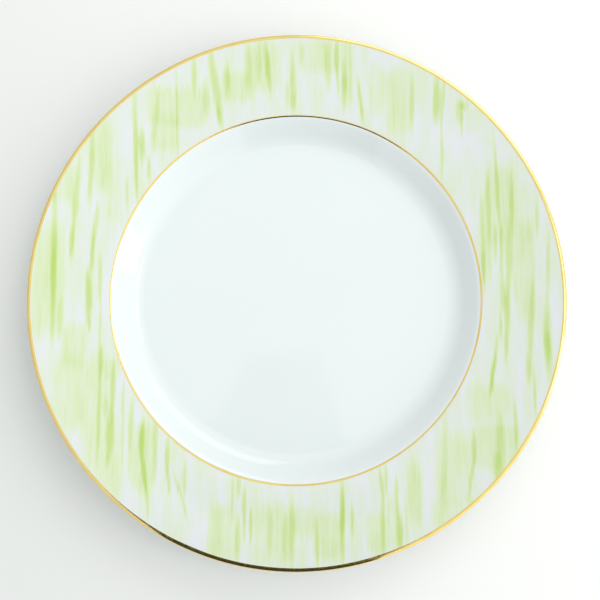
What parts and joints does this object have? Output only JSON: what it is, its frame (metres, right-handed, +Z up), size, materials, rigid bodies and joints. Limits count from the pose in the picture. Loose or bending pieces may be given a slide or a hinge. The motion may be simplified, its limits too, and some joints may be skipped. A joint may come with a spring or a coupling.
{
  "type": "dinner plate",
  "caption": "Round china dinner plate with a wide sloping rim, a flat shallow well, a low foot ring, a brush-stroked rim band and gold at the lip and verge.",
  "frame": {"origin": "centre of the foot ring, on the plane that the plate rests on", "axes": "+Z up, out of the well; +Y is the side at the top of the rim's pattern, whose brush strokes all run along Y; +X to the right"},
  "size_m": [0.27, 0.27, 0.0234],
  "materials": {
    "bare_porcelain": "matte",
    "clear_glaze": "polished",
    "green_print": "polished",
    "fired_gold": "polished",
    "stamp_print": "gloss"
  },
  "bodies": {
    "root": {"porcelain_body": "bare_porcelain", "glaze_coat": "clear_glaze", "foot_well_glaze": "clear_glaze", "rim_decal": "green_print", "lip_gold_band": "fired_gold", "verge_gold_line": "fired_gold", "backstamp": "stamp_print"}
  },
  "joints": []
}
